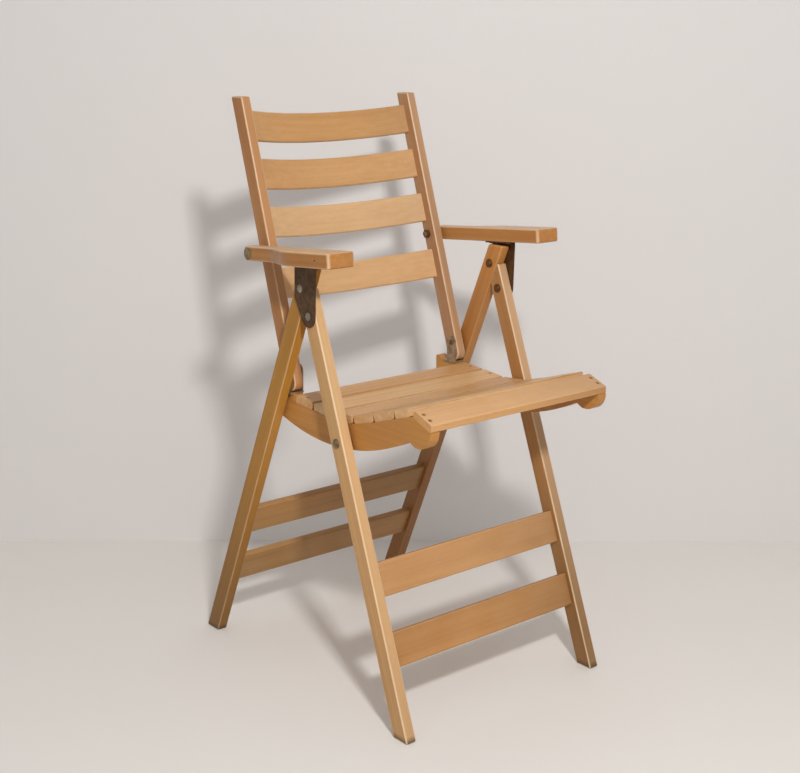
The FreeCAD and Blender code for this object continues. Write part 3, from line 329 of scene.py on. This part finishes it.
# Pale corners: varnish worn thin, and a painted highlight.
RUBBED_AND_HIGHLIT = colour(252, 228, 194)
# Dark corners of the seat's slats: painted shade in the gaps between them.
GAP_SHADE = colour(132, 90, 52)

# These ways are longer or shorter than 1, for how fast the painted shade deepens in a metre.
NOWHERE = (0, 0, 0)
DOWNWARD = (0, 0, -2.4)
LEFTWARD = (2.6, 0, 0)


def leaning(degrees):
    """Turn for a stick that leans back from upright by some degrees."""
    return (math.radians(degrees), 0, 0)


def stick(turn, pale, deep, corner_share=0.65, rings=0.07, darkens=NOWHERE, start=0.0,
          painted_sheen=0.0, sheen_side=FRONT, corners=RUBBED_AND_HIGHLIT):
    """Start is how deep the painted shade would be at the middle of the floor."""
    # Colour of the painted shade: the deep tone, darker still.
    dark = tuple(part * 0.55 for part in colour(*deep)[:3]) + (1.0,)
    return {"turn": turn, "pale": colour(*pale), "deep": colour(*deep), "dark": dark,
            "corner_share": corner_share, "rings": rings, "darkens": darkens, "from": start,
            "painted_sheen": painted_sheen, "sheen_side": sheen_side, "corners": corners}


print("grain of a leg turns by", [round(part, 3) for part in leaning(20)])

# %% [markdown]
# ## The boards
# A chair is cut from several boards, and varnish yellows them differently. The rear frame
# and the seat's side rails are browner, and the slats are paler; the rear frame's brown is
# partly painted shade, and so are the darker tones of the legs on the far side. The seat's
# slats have strong rings and corners darkened as painted shade in their gaps, where the
# others have pale corners, partly worn and partly painted highlight. One tone for all
# would make the chair look moulded.

# %% The tones of each kind of stick
STICKS = {
    # Painted shade: the left legs, on the far side, are darker than the right ones, the front
    # one in its tones and both towards the floor.
    "front_leg_left": stick(leaning(20), (192, 146, 94), (160, 110, 60),
                            darkens=DOWNWARD, start=1.14, painted_sheen=0.3),
    "front_leg_right": stick(leaning(20), (217, 174, 122), (184, 136, 82),
                             darkens=DOWNWARD, start=0.36, painted_sheen=0.16),
    "rear_leg_left": stick(leaning(-23.36), (206, 148, 84), (166, 108, 54), corner_share=0.12,
                           darkens=DOWNWARD, start=1.6),
    "rear_leg_right": stick(leaning(-23.36), (191, 139, 57), (141, 95, 33), corner_share=0.25,
                            darkens=DOWNWARD, start=1.05),
    "back_stile_left": stick(leaning(17.7), (188, 147, 108), (157, 111, 75), corner_share=0.55,
                             painted_sheen=0.1),
    "back_stile_right": stick(leaning(17.7), (192, 142, 91), (158, 101, 55), corner_share=0.5,
                              painted_sheen=0.08),
    "armrest": stick(leaning(94.5), (188, 136, 79), (144, 89, 45), corner_share=0.4,
                     painted_sheen=0.42, sheen_side=UPWARD),
    "seat_rail": stick(leaning(90), (202, 146, 80), (162, 108, 50), corner_share=0.2, rings=0.04),
    "front_rail_upper": stick(ACROSS, (206, 154, 98), (174, 122, 72), corner_share=0.2,
                              darkens=LEFTWARD),
    "front_rail_lower": stick(ACROSS, (186, 134, 76), (154, 101, 49), corner_share=0.2,
                              darkens=LEFTWARD, start=0.08),
    "rear_rail": stick(ACROSS, (173, 127, 68), (131, 91, 42), corner_share=0.15),
    "seat_slat": stick(ACROSS, (230, 192, 142), (190, 140, 88), corner_share=0.6, rings=0.14,
                       corners=GAP_SHADE),
    "seat_front_board": stick(ACROSS, (212, 164, 112), (184, 130, 76), corner_share=0.25,
                              darkens=LEFTWARD, start=0.05),
    "back_slat_1": stick(ACROSS, (200, 153, 97), (172, 123, 69), corner_share=0.2,
                         darkens=LEFTWARD, start=-0.1),
    "back_slat_2": stick(ACROSS, (209, 163, 110), (181, 132, 80), corner_share=0.2),
    "back_slat_3": stick(ACROSS, (218, 178, 132), (194, 150, 102), corner_share=0.2,
                         darkens=LEFTWARD, start=-0.1),
    "back_slat_4": stick(ACROSS, (216, 173, 124), (190, 145, 96), corner_share=0.2),
}
print("kinds of stick:", len(STICKS))

# %% [markdown]
# ## One finish for each stick
# Two sticks with the same finish would show the same clouds, as if cut from one another.
# So each wooden piece gets a finish of its own, whose pattern is moved to a new place in
# the log and leans a little more or less to the deep tone.

# %% Finish the wood
wooden = sorted(row["node"] for row in frame["record"]["subparts"]
                if row["material_slot"] == "wood")
woods = {}
for number, name in enumerate(wooden):
    kind = next(STICKS[start] for start in STICKS if name.startswith(start))
    shift = (0.11 + 0.053 * (number % 7), 0.07 + 0.041 * (number % 5), 0.31 * number)
    depth = 0.36 + 0.06 * ((number * 5) % 4)
    woods[name] = wood("wood_" + name, shift, kind, depth)
print("wooden pieces:", len(woods))

# %% [markdown]
# ## Metal
# Sheet, rivets and screws all have cloudy stains and fine specks, so one helper makes
# them. A real fastener has no sharp edge. Bevelling hundreds of tiny edges would cost many
# faces, so the shader's Bevel node rounds only their shading. The plating has lasted on
# the outside of the chair, and the ends inside it have gone brown.

# %% Stained metal
STAINS_IN_A_METRE = 120.0
SPECKS_IN_A_METRE = 900.0
EDGE_ROUNDING = 0.0006
SPECK_DEPTH = 0.00004
INNER_EDGE = 0.2
INNER_BLUR = 0.0004


def steel(name, clean, stained, smooth, shine, inner=None):
    """Metal with cloudy stains and fine specks, and maybe browner ends inside the chair."""
    finish = Finish(name)
    place = finish.place((0, 0, 0), (0, 0, 0))
    stains = finish.noise(place, 4.0, STAINS_IN_A_METRE).above(0.5, 0.35)
    body = finish.mix(stains, clean, stained)
    if inner is not None:
        aside = finish.add("SeparateXYZ", {}, {0: place}, "X")
        outside = (aside * aside).above(INNER_EDGE * INNER_EDGE, INNER_BLUR)
        body = finish.mix(outside, inner, body)
    specks = finish.noise(place, 2.0, SPECKS_IN_A_METRE)
    rounded = finish.add("Bevel", {"samples": 4}, {"Radius": EDGE_ROUNDING})
    relief = finish.add("Bump", {}, {"Height": specks, "Distance": SPECK_DEPTH,
                                     "Strength": 1.0, "Normal": rounded})
    return finish.finished(Base_Color=body, Metallic=shine,
                           Roughness=specks * 0.2 + smooth, Normal=relief)


print("edges look rounded by", round(EDGE_ROUNDING * 1000, 1), "mm")

# %% [markdown]
# ## The metals
# The brackets are bent from sheet and finished dark brown. Rivets and their washers are
# plated steel gone dull, and the hinge plates are bare and greyish brown. Bolts are
# bronze-coloured, the screws have browned with the wood, and nuts and pins are dark.

# %% The metals
METALS = {
    "bracket_brown": steel("bracket_brown", colour(106, 78, 50), colour(76, 54, 34), 0.38, 0.5),
    "rivet_steel": steel("rivet_steel", colour(176, 170, 150), colour(118, 110, 92), 0.32, 0.8,
                         inner=colour(118, 84, 56)),
    "hinge_steel": steel("hinge_steel", colour(178, 152, 122), colour(134, 108, 82), 0.45, 0.5),
    "bolt_bronze": steel("bolt_bronze", colour(158, 138, 104), colour(106, 86, 62), 0.38, 0.6),
    "screw_brown": steel("screw_brown", colour(178, 134, 92), colour(126, 90, 60), 0.42, 0.4),
    "dark_steel": steel("dark_steel", colour(104, 90, 74), colour(62, 50, 40), 0.35, 0.8),
}
print("metals:", len(METALS))

# %% [markdown]
# ## A finish on every node
# The CAD nodes keep their shapes, and only their materials are set. A name says what a
# piece is, so the name also chooses its finish.

# %% Finish every node
def finish_of(name):
    """The material of a CAD node."""
    if name in woods:
        return woods[name]
    if name.startswith("arm_bracket"):
        return METALS["bracket_brown"]
    if name.startswith("back_hinge"):
        return METALS["hinge_steel"]
    if name.endswith("bolts"):
        return METALS["bolt_bronze"]
    if "rivet" in name or "washer" in name or "spacer" in name or name == "arm_pivot_nuts":
        return METALS["rivet_steel"]
    return METALS["dark_steel"]


for name, piece in nodes.items():
    piece.data.materials.clear()
    piece.data.materials.append(finish_of(name))
print("finished nodes:", len(nodes))

# %% [markdown]
# ## Handling pieces
# Modelling by hand is a row of small acts: pick one piece, pick some of its faces, draw
# them out. Code can't point at a face, so it picks faces by a test on their place or
# their normal. An operator acts on all that is selected, and loading leaves every CAD
# node selected, so everything is deselected first.

# %% Pick, draw and turn outwards
def alone(piece):
    """Make a piece the only one selected, and active."""
    bpy.ops.object.select_all(action="DESELECT")
    piece.select_set(True)
    bpy.context.view_layer.objects.active = piece


def choose(piece, wanted):
    """In edit mode, select the faces that pass a test."""
    bpy.ops.object.mode_set(mode="OBJECT")
    for group in (piece.data.vertices, piece.data.edges, piece.data.polygons):
        group.foreach_set("select", [False] * len(group))
    for face in piece.data.polygons:
        face.select = wanted(face)
    bpy.ops.object.mode_set(mode="EDIT")
    bpy.ops.mesh.select_mode(type="FACE")


def drawn(step, size=1.0):
    """Extrude the chosen faces by a step upwards, then scale them across."""
    bpy.ops.mesh.extrude_region_move(TRANSFORM_OT_translate={"value": (0, 0, step)})
    bpy.ops.transform.resize(value=(size, size, 1))


def face_outwards():
    """Turn every face of the piece being edited outwards, and leave edit mode."""
    bpy.ops.mesh.select_all(action="SELECT")
    bpy.ops.mesh.normals_make_consistent(inside=False)
    bpy.ops.object.mode_set(mode="OBJECT")


print("selected after loading:", len(bpy.context.selected_objects))

# %% [markdown]
# ## Finding the small fasteners
# The CAD has every screw where it belongs, as a plain turned shape, but a real wood screw
# has a slot for the driver. Each new screw goes exactly where the plain one is. Its place
# is read from the plain one: a copy is merged and separated into its solids, and the axis
# of each is the one direction in which its points spread unlike the others.

# %% Heads of a node's fasteners
def turned_solids(name):
    """For each solid of a CAD node: the top of its head, and its direction out of the wood."""
    sample = bpy.data.objects.new("sample", nodes[name].data.copy())
    bpy.context.scene.collection.objects.link(sample)
    alone(sample)
    bpy.ops.object.mode_set(mode="EDIT")
    bpy.ops.mesh.select_all(action="SELECT")
    bpy.ops.mesh.remove_doubles(threshold=0.00001)
    bpy.ops.mesh.separate(type="LOOSE")
    bpy.ops.object.mode_set(mode="OBJECT")
    found = []
    for part in list(bpy.context.selected_objects):
        points = numpy.array([vertex.co for vertex in part.data.vertices])
        middle = (points.min(axis=0) + points.max(axis=0)) / 2
        spreads, directions = numpy.linalg.eigh(numpy.cov((points - points.mean(axis=0)).T))
        odd = max(range(3), key=lambda i: abs(spreads[i] - numpy.median(spreads)))
        axis = directions[:, odd]
        reach = (points - middle) @ axis
        across = numpy.linalg.norm(points - middle - numpy.outer(reach, axis), axis=1)
        if reach[across.argmax()] < 0:
            axis, reach = -axis, -reach
        found.append((Vector(middle + axis * reach.max()), Vector(axis)))
        bpy.data.objects.remove(part)
    return found


screw_heads = {name: turned_solids(name)
               for name in ("slat_screws", "board_screws", "bracket_screws", "hinge_screws")}
for name, heads in screw_heads.items():
    print(name, len(heads), "first:", [round(part, 4) for part in heads[0][0]])

# %% [markdown]
# ## A slotted wood screw
# It starts as a cylinder the size of the head. The lower face is drawn down and in to
# the shank, and on to a blunt point. The upper face gets a rim by an inset and two cuts
# side by side, and the strip between them is pushed down as the slot. The sheet metal is
# held by screws with a low round head, whose top is lowered and drawn up again in three
# steps, each narrower than the last, before the slot is cut. A cutter shape taken away
# from the head would make the slot too, but it leaves ragged faces.

# %% Shape a screw
HEAD_RADIUS = 0.0032
SHANK_RADIUS = 0.0017
SHANK_SHARE = SHANK_RADIUS / HEAD_RADIUS
POINT_SHARE = 0.25
POINT_SIZE = 0.3
DOME_DROP = 0.55
DOME_STEPS = ((0.30, 0.93), (0.17, 0.86), (0.08, 0.78))
RIM = HEAD_RADIUS * 0.08
SLOT_WIDTH = 0.0009
SLOT_DEPTH = 0.0008


def at_top(face):
    """Whether a face looks up and lies at the top of the head."""
    return face.normal.z > 0.9 and face.center.z > -0.0001


def slotted_screw(name, length, head_height, round_head):
    """Upright screw with the top of its head at the origin."""
    bpy.ops.object.select_all(action="DESELECT")
    bpy.ops.mesh.primitive_cylinder_add(vertices=32, radius=HEAD_RADIUS, depth=head_height,
                                        location=(0, 0, -head_height / 2))
    screw = bpy.context.active_object
    screw.name = name
    bpy.ops.object.transform_apply(location=True, rotation=False, scale=False)
    choose(screw, lambda face: face.normal.z < -0.9)
    if round_head:
        drawn(0, SHANK_SHARE)
    else:
        bpy.ops.transform.resize(value=(SHANK_SHARE, SHANK_SHARE, 1))
    drawn(-(length - head_height) * (1 - POINT_SHARE))
    drawn(-(length - head_height) * POINT_SHARE, POINT_SIZE)
    choose(screw, lambda face: face.normal.z > 0.9)
    if round_head:
        bpy.ops.transform.translate(value=(0, 0, -head_height * DOME_DROP))
        for step, size in DOME_STEPS:
            drawn(head_height * step, size)
    bpy.ops.mesh.inset(thickness=RIM)
    for side in (-1, 1):
        choose(screw, at_top)
        bpy.ops.mesh.bisect(plane_co=(side * SLOT_WIDTH / 2, 0, 0), plane_no=(1, 0, 0))
    choose(screw, lambda face: at_top(face) and face.center.length < SLOT_WIDTH / 4)
    drawn(-SLOT_DEPTH)
    face_outwards()
    bpy.ops.object.shade_smooth_by_angle(angle=math.radians(35))
    print(name, "faces:", len(screw.data.polygons))
    return screw


sunk_screw = slotted_screw("sunk_screw", 0.0230, 0.0017, False)
round_screw = slotted_screw("round_screw", 0.0125, 0.0018, True)

# %% [markdown]
# ## Copies that stand by themselves
# A copy could share its mesh with the model, but then it could not be joined and put in
# place. So each copy gets its own mesh, and its place goes into that mesh. Pieces that
# belong together are joined into one, which rides on a body of the chair.

# %% Copy, place and join
def body_of(name):
    """The body that a node rides on."""
    bodies = frame["record"]["behaviour"]["bodies"]
    return next(body for body, group in bodies.items() if name in group)


def placed_copy(model, spot, direction, spin):
    """Copy of an upright model, standing at a spot along a direction."""
    copy = bpy.data.objects.new(model.name, model.data.copy())
    bpy.context.scene.collection.objects.link(copy)
    turn = direction.to_track_quat("Z", "Y").to_matrix() @ Matrix.Rotation(spin, 3, "Z")
    copy.data.transform(Matrix.Translation(spot) @ turn.to_4x4())
    return copy


def joined(copies, name, finish):
    """Make one piece of several, with its place in its mesh."""
    bpy.ops.object.select_all(action="DESELECT")
    for piece in copies:
        piece.select_set(True)
    bpy.context.view_layer.objects.active = copies[0]
    bpy.ops.object.join()
    piece = bpy.context.active_object
    piece.name = name
    piece.data.materials.clear()
    piece.data.materials.append(finish)
    print(name, "copies:", len(copies), "faces:", len(piece.data.polygons))
    return piece


# %% [markdown]
# ## A screw in every hole
# Each screw is turned so that it stands along its hole. Nobody lines the slots up, so
# every slot has its own angle. The screws of one node become one piece, which stands for
# that node.

# %% Put the screws in
TURN_STEP = math.radians(67)
for name, heads in screw_heads.items():
    model = round_screw if name in ("bracket_screws", "hinge_screws") else sunk_screw
    copies = [placed_copy(model, spot, direction, number * TURN_STEP)
              for number, (spot, direction) in enumerate(heads)]
    screws = joined(copies, "slotted_" + name, METALS["screw_brown"])
    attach(screws, body_of(name))
    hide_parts(name)

for model in (sunk_screw, round_screw):
    bpy.data.objects.remove(model)

# %% [markdown]
# ## Wide washers at the rear of the arms
# Each arm turns on a bolt through its rear end, and outside the wood the bolt's head
# draws down on a wide steel washer. The washer is a disc whose two faces are inset and
# joined by a bridge, which makes the hole, and a small bevel rounds its rims.

# %% Shape the washer
def ring(name, radius, hole, height):
    """Upright flat ring whose underside is at the origin."""
    bpy.ops.object.select_all(action="DESELECT")
    bpy.ops.mesh.primitive_cylinder_add(vertices=48, radius=radius, depth=height,
                                        location=(0, 0, height / 2))
    washer = bpy.context.active_object
    washer.name = name
    bpy.ops.object.transform_apply(location=True, rotation=False, scale=False)
    choose(washer, lambda face: abs(face.normal.z) > 0.9)
    bpy.ops.mesh.inset(thickness=radius - hole, use_individual=True)
    bpy.ops.mesh.bridge_edge_loops()
    face_outwards()
    rim = washer.modifiers.new("rim", "BEVEL")
    rim.width = height * 0.3
    rim.segments = 2
    bpy.ops.object.modifier_apply(modifier=rim.name)
    bpy.ops.object.shade_smooth_by_angle(angle=math.radians(35))
    return washer


washer = ring("arm_washer", 0.0096, 0.0070, 0.0012)
print("washer faces:", len(washer.data.polygons))

# %% [markdown]
# ## Where the washers lie
# The box round both bolts gives their two outer ends and the height of their axis. The
# washer lies under the head, one head's height in from each end.

# %% Put a washer under both heads
BOLT_HEAD_HEIGHT = 0.0032
bolt_low, bolt_high = (Vector(corner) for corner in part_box("arm_pivot_bolts"))
bolt_spot = (bolt_low + bolt_high) / 2
copies = []
for side, outer in ((-1, bolt_low.x), (1, bolt_high.x)):
    under_head = Vector((outer - side * BOLT_HEAD_HEIGHT, bolt_spot.y, bolt_spot.z))
    copies.append(placed_copy(washer, under_head, Vector((side, 0, 0)), 0))
bpy.data.objects.remove(washer)
arm_washers = joined(copies, "arm_bolt_washers", METALS["bolt_bronze"])
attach(arm_washers, "arms")
print("last washer at", [round(part, 4) for part in under_head])

# %% [markdown]
# ## Paint for the room
# The photograph's wall is evenly bright, as if lit for itself. More lamps would bleach
# the chair too. So the camera, and what mirrors or glass would show, sees part of the
# paint's colour as it is and the rest as the light falls on it. The light on the chair is
# not changed by that, and the shadows stay. From behind, the wall's paint is clear, so
# that the chair can be seen from all sides.

# %% Paint
SHADED_PAINT = colour(196, 191, 186)


def paint(name, shade, own_light, one_sided=False):
    """Matt paint with the faintest unevenness, on one side or both."""
    finish = Finish(name)
    clouds = finish.noise(finish.place((0, 0, 0), (0, 0, 0)), 2.0, 3.0)
    tone = finish.mix(clouds * 0.06, shade, SHADED_PAINT)
    coat = finish.add("BsdfPrincipled", {}, {"Base Color": tone, "Roughness": 0.75})
    glow = finish.add("Emission", {}, {"Color": tone, "Strength": 1.0})
    seen = finish.add("LightPath", {}, {}, "Is Camera Ray")
    seen = seen + seen.sibling("Is Glossy Ray") + seen.sibling("Is Transmission Ray")
    coat = finish.add("MixShader", {}, {0: seen.clamped() * own_light, 1: coat, 2: glow})
    if one_sided:
        clear = finish.add("BsdfTransparent", {}, {})
        behind = finish.add("NewGeometry", {}, {}, "Backfacing")
        coat = finish.add("MixShader", {}, {0: behind, 1: coat, 2: clear})
    return finish.ended(coat)


floor_paint = paint("floor_paint", colour(235, 230, 224), own_light=0.08)
wall_paint = paint("wall_paint", colour(224, 219, 216), own_light=0.16, one_sided=True)
print("paints:", floor_paint.name, wall_paint.name)

# %% [markdown]
# ## Floor and wall
# The chair stands on a pale floor close before a wall of nearly the same colour. The
# wall stands square to the view, at the distance where the line between floor and wall
# lies as high in the picture as in the photograph.

# %% Floor and wall
VIEW_TURN = math.radians(-39.506)
WALL_DISTANCE = 2.651
WALL_SIZE = 7
FLOOR_SIZE = 14
forward = Vector((-math.sin(VIEW_TURN), math.cos(VIEW_TURN), 0))
right = Vector((math.cos(VIEW_TURN), math.sin(VIEW_TURN), 0))
wall_foot = Vector((camera.location.x, camera.location.y, 0)) + forward * WALL_DISTANCE


def flat(name, centre, size, turn, finish):
    """A large flat sheet of the room."""
    bpy.ops.mesh.primitive_plane_add(size=size, location=centre, rotation=turn)
    sheet = bpy.context.active_object
    sheet.name = name
    sheet.data.materials.append(finish)


flat("floor", (0, 0, 0), FLOOR_SIZE, (0, 0, 0), floor_paint)
flat("wall", wall_foot + Vector((0, 0, WALL_SIZE / 2)), WALL_SIZE,
     (math.radians(90), 0, VIEW_TURN), wall_paint)
print("wall foot at", [round(part, 3) for part in wall_foot])

# %% [markdown]
# ## Lamp
# The chair's shadow falls on the wall behind it and to the left, with a soft edge. So one
# small square lamp stands beside the camera on its right and above it.

# %% Lamp
LAMP_HEIGHT = 0.68
LAMP_ASIDE = 0.18
LAMP_DISTANCE = 2.4
chair_middle = Vector((0, 0, 0.5))
toward = -forward + right * LAMP_ASIDE + Vector((0, 0, LAMP_HEIGHT))
light = bpy.data.lights.new("key", "AREA")
light.size = 0.18
light.energy = 39
key = bpy.data.objects.new("key", light)
key.location = chair_middle + toward.normalized() * LAMP_DISTANCE
key.rotation_euler = (chair_middle - key.location).to_track_quat("-Z", "Y").to_euler()
bpy.context.scene.collection.objects.link(key)
print("key light at", [round(part, 2) for part in key.location])

# %% [markdown]
# ## Light from all round
# A second lamp would throw a second shadow. The world's plain white fills the shaded
# sides without one.

# %% World
world = bpy.data.worlds.new("room_light")
world.use_nodes = True
sky = world.node_tree.nodes["Background"]
sky.inputs["Color"].default_value = (1, 1, 1, 1)
sky.inputs["Strength"].default_value = 0.38
bpy.context.scene.world = world
print("world light:", round(sky.inputs["Strength"].default_value, 2))

# %% [markdown]
# ## The end
